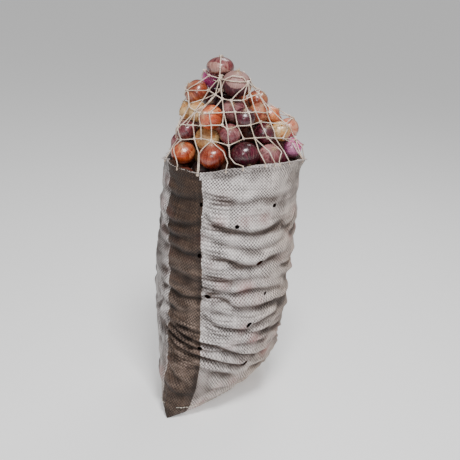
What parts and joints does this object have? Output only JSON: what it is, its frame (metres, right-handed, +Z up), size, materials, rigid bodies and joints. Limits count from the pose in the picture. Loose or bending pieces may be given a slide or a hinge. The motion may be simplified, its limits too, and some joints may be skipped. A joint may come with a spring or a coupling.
{
  "type": "mesh produce bag",
  "caption": "Full standing woven produce sack of onions with a sewn, folded bottom, an open round mouth and a knotted twine net laced over the heap that rises above it.",
  "frame": {"origin": "middle of the folded bottom edge, on the surface that the sack stands on", "axes": "X along the bottom seam, Y across the broad faces, Z up"},
  "size_m": [0.4, 0.3266, 0.8453],
  "materials": {
    "weave": "woven flat polypropylene yarn, greyish white with a brown stripe",
    "thread": "plain sewing thread",
    "twine": "twisted cream twine",
    "onion_purple": "glossy dry onion skin, purple red",
    "onion_orange": "glossy dry onion skin, orange brown",
    "onion_pale": "matte papery onion skin, straw yellow"
  },
  "bodies": {
    "root": {"sack_body": "weave", "mouth_hem": "weave", "bottom_fold": "weave", "bottom_stitches": "thread", "rim_lacing": "twine", "crown_strands": "twine", "net_row_1": "twine", "net_row_2": "twine", "net_row_3": "twine", "net_row_4": "twine", "net_row_5": "twine", "net_bars_1": "twine", "net_bars_2": "twine", "net_bars_3": "twine", "net_bars_4": "twine", "net_bars_5": "twine", "heap_onion_03": "onion_purple", "heap_onion_04": "onion_purple", "heap_onion_05": "onion_purple", "heap_onion_06": "onion_purple", "heap_onion_08": "onion_purple", "heap_onion_10": "onion_purple", "heap_onion_13": "onion_purple", "heap_onion_15": "onion_purple", "heap_onion_16": "onion_purple", "heap_onion_19": "onion_purple", "heap_onion_21": "onion_purple", "heap_onion_26": "onion_purple", "heap_onion_30": "onion_purple", "heap_onion_31": "onion_purple", "heap_onion_33": "onion_purple", "heap_onion_36": "onion_purple", "heap_onion_37": "onion_purple", "heap_onion_38": "onion_purple", "top_onion": "onion_purple", "core_onions": "onion_purple", "heap_onion_14": "onion_pale", "heap_onion_25": "onion_pale", "heap_onion_29": "onion_pale", "heap_onion_17": "onion_pale", "heap_onion_23": "onion_pale", "heap_onion_01": "onion_orange", "heap_onion_02": "onion_orange", "heap_onion_07": "onion_orange", "heap_onion_09": "onion_orange", "heap_onion_11": "onion_orange", "heap_onion_12": "onion_orange", "heap_onion_18": "onion_orange", "heap_onion_20": "onion_orange", "heap_onion_22": "onion_orange", "heap_onion_24": "onion_orange", "heap_onion_27": "onion_orange", "heap_onion_28": "onion_orange", "heap_onion_32": "onion_orange", "heap_onion_34": "onion_orange", "heap_onion_35": "onion_orange", "heap_onion_39": "onion_orange", "inner_onions_1": "onion_orange", "inner_onions_2": "onion_orange", "inner_onions_3": "onion_orange"}
  },
  "joints": []
}
